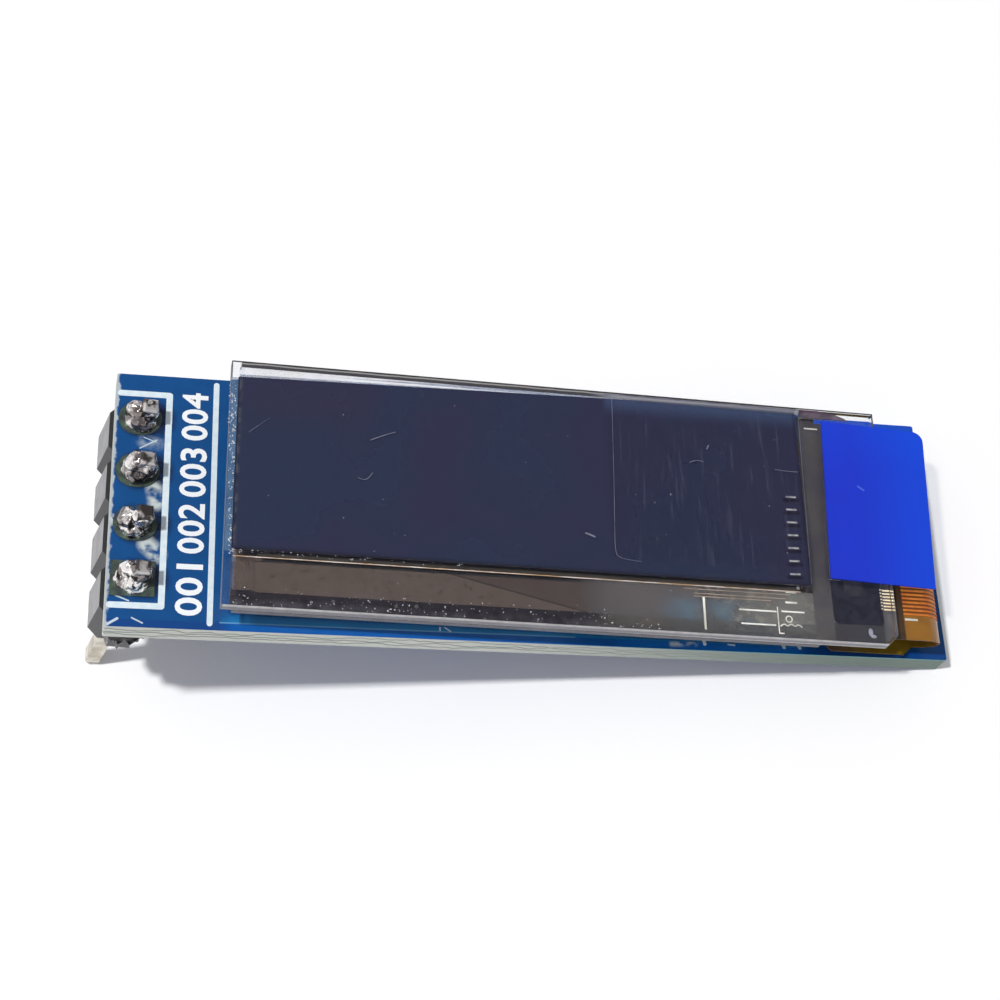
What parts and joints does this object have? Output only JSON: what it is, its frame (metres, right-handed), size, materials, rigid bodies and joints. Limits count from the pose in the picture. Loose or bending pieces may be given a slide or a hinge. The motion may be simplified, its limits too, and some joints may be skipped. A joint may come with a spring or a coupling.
{
  "type": "small oled display module",
  "caption": "Narrow OLED display module: a glass panel with a folded flex tail on a blue circuit board, with a soldered pin header at one end.",
  "frame": {"origin": "middle of the pin row, on the board's underside", "axes": "+X along the board to the end with the folded flex, +Y to the rear long edge as the picture shows it, +Z out of the display"},
  "size_m": [0.0386, 0.0123, 0.0127],
  "materials": {
    "board_laminate": "blue solder mask over glass-fibre laminate",
    "tinned_copper": "tinned",
    "white_ink": "printed ink",
    "black_plastic": "moulded",
    "pin_metal": "plated",
    "solder": "reflowed, dull",
    "foam_tape": "foam",
    "clear_glass": "polished",
    "seal_resin": "cured resin",
    "desiccant": "matt sheet",
    "organic_layers": "reflective metal behind thin layers",
    "polarizer_film": "dark film",
    "clear_film": "clear film",
    "blue_film": "coloured film",
    "silicon": "polished silicon",
    "black_cover": "light-tight cover",
    "flex_film": "polyimide film",
    "copper": "copper traces",
    "moulded_black": "moulded",
    "ceramic_tan": "chip ceramic",
    "resistor_black": "chip ceramic with dark glaze"
  },
  "bodies": {
    "root": {"cap_glass": "clear_glass", "capacitor_1": "ceramic_tan", "capacitor_2": "ceramic_tan", "capacitor_3": "ceramic_tan", "capacitor_4": "ceramic_tan", "capacitor_5": "ceramic_tan", "capacitor_6": "ceramic_tan", "capacitor_7": "ceramic_tan", "component_solder": "solder", "desiccant_sheet": "desiccant", "driver_ic": "silicon", "flex_cable": "flex_film", "flex_landing_pads": "tinned_copper", "flex_solder_joints": "solder", "flex_traces": "copper", "header_housing": "black_plastic", "header_pin_1": "pin_metal", "header_pin_2": "pin_metal", "header_pin_3": "pin_metal", "header_pin_4": "pin_metal", "header_solder_1": "solder", "header_solder_2": "solder", "header_solder_3": "solder", "header_solder_4": "solder", "ic_cover": "black_cover", "oled_stack": "organic_layers", "panel_tape": "foam_tape", "pcb_board": "board_laminate", "perimeter_seal": "seal_resin", "plated_hole_1": "tinned_copper", "plated_hole_2": "tinned_copper", "plated_hole_3": "tinned_copper", "plated_hole_4": "tinned_copper", "polarizer": "polarizer_film", "protective_film": "clear_film", "pull_tab": "blue_film", "pull_tab_adhesive": "clear_film", "rear_silkscreen_lines": "white_ink", "regulator_body": "moulded_black", "regulator_leads": "pin_metal", "resistor_1": "resistor_black", "resistor_2": "resistor_black", "resistor_3": "resistor_black", "resistor_4": "resistor_black", "resistor_5": "resistor_black", "silkscreen_lines": "white_ink", "substrate_glass": "clear_glass"}
  },
  "joints": []
}
